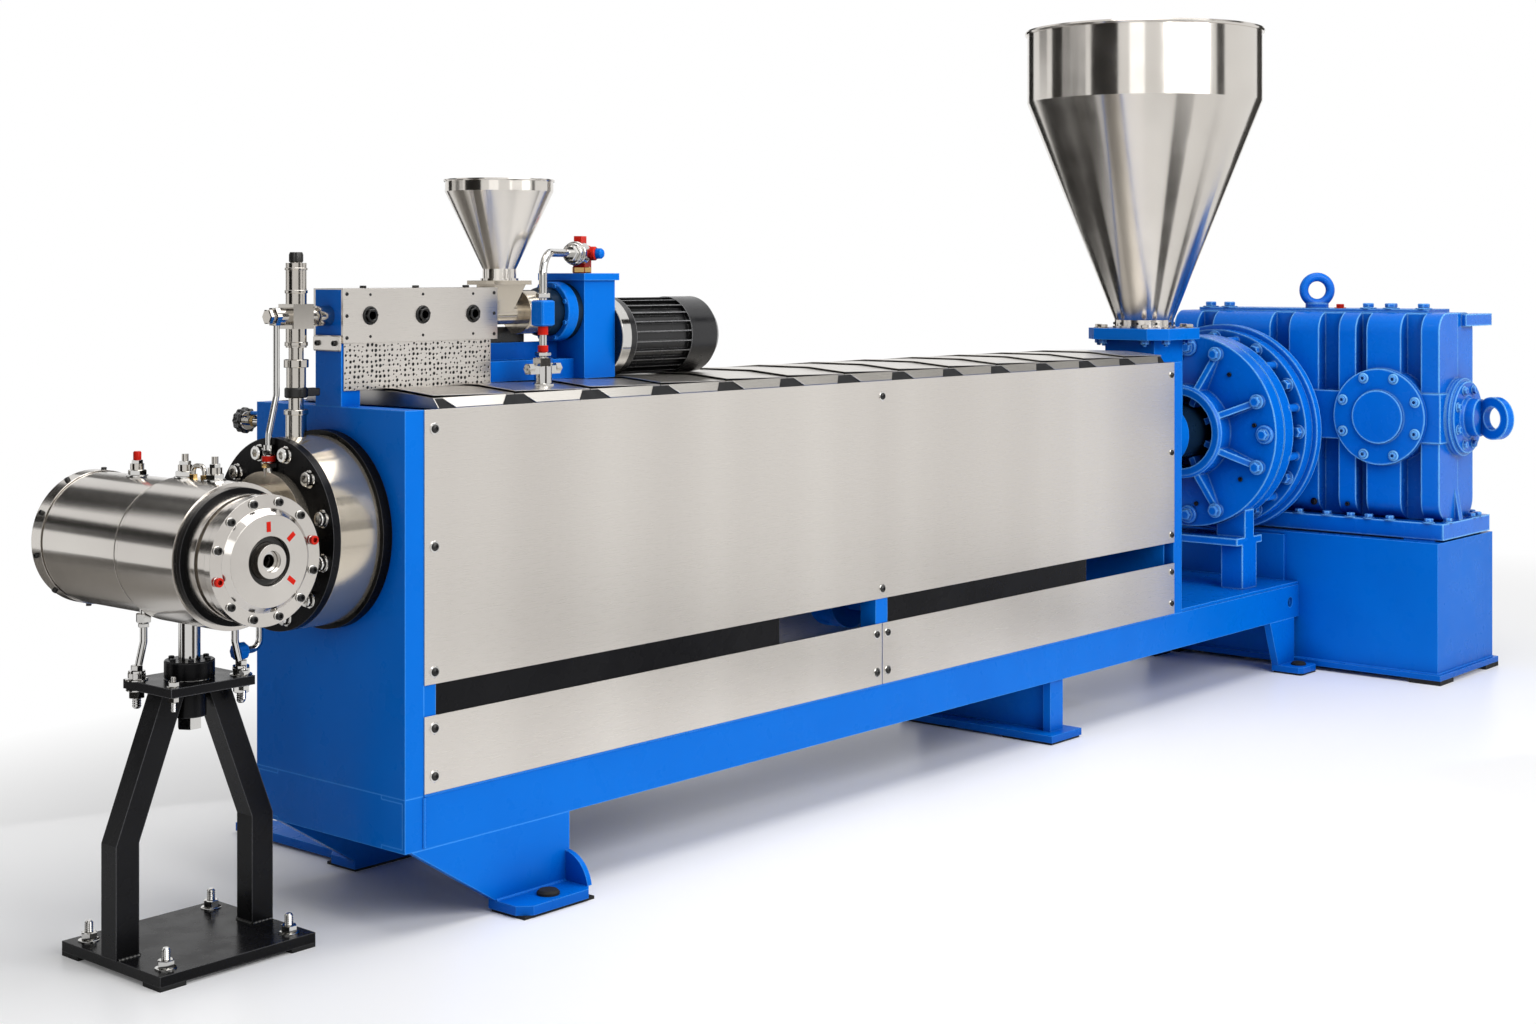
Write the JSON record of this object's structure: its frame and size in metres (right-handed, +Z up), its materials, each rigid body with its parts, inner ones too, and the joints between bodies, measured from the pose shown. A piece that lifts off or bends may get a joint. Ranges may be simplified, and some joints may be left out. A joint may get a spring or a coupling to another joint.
{
  "type": "plastic extruder",
  "caption": "Single-screw plastic extruder on a blue frame with steel cladding, crosshead die on its own stand, feed hopper, small co-extruder on top and ribbed gearbox.",
  "frame": {"origin": "centre of the frame's four anchor holes, on the floor below the screw axis", "axes": "+X along the screw from the die towards the gearbox, +Z up; the operator's side is -Y"},
  "size_m": [6.048, 1.9719, 2.6],
  "materials": {
    "machine_blue": "gloss machine enamel",
    "drive_blue": "gloss machine enamel on castings",
    "stainless_sheet": "brushed stainless sheet",
    "hopper_sheet": "rolled stainless sheet",
    "machined_steel": "turned and ground steel",
    "barrel_steel": "dull nitrided steel",
    "jacket_aluminium": "cast, dull",
    "black_enamel": "gloss black enamel",
    "stand_black": "gloss black enamel",
    "motor_black": "satin black",
    "dark_sleeve": "dark oiled steel",
    "chrome_pipe": "bright plated",
    "brass_fitting": "brass and plated fittings",
    "red_valve": "red enamel",
    "pad_rubber": "matt"
  },
  "bodies": {
    "root": {"front_end_plate": "machine_blue", "base_beams": "machine_blue", "cross_members": "machine_blue", "rear_deck": "machine_blue", "frame_posts": "machine_blue", "top_rails": "machine_blue", "frame_feet": "machine_blue", "foot_pads": "pad_rubber", "upper_side_panels": "stainless_sheet", "lower_side_panels": "stainless_sheet", "barrel_top_covers": "stainless_sheet", "slot_shields": "black_enamel", "barrel": "barrel_steel", "heater_jackets": "jacket_aluminium", "cooling_blowers": "machine_blue", "adapter_back_ring": "black_enamel", "adapter_drum": "machined_steel", "adapter_flange": "black_enamel", "crosshead_neck": "machined_steel", "crosshead_body": "machined_steel", "crosshead_fittings": "brass_fitting", "die_lock_ring": "black_enamel", "die_holder": "machined_steel", "die_face": "machined_steel", "stand_frame": "stand_black", "stand_jack": "chrome_pipe", "drain_pipes": "chrome_pipe", "water_taps": "chrome_pipe", "melt_column": "machined_steel", "bypass_pipe": "chrome_pipe", "coex_post": "machine_blue", "coex_barrel_cover": "stainless_sheet", "coex_guard": "stainless_sheet", "coex_support": "machine_blue", "coex_barrel": "machined_steel", "coex_coupling": "dark_sleeve", "coex_gear_column": "machine_blue", "coex_motor": "motor_black", "small_hopper_cone": "hopper_sheet", "small_hopper_cylinder": "hopper_sheet", "cooling_pipe": "chrome_pipe", "shutoff_valve": "red_valve", "feed_block": "machine_blue", "feed_flange": "machine_blue", "hopper_cone": "hopper_sheet", "hopper_cylinder": "hopper_sheet", "lantern": "drive_blue", "drive_sleeve": "dark_sleeve", "lantern_pedestal": "drive_blue", "gearbox_case": "drive_blue", "bearing_covers": "drive_blue", "input_shaft": "machined_steel", "lifting_eyes": "drive_blue", "gear_base": "machine_blue"}
  },
  "joints": []
}
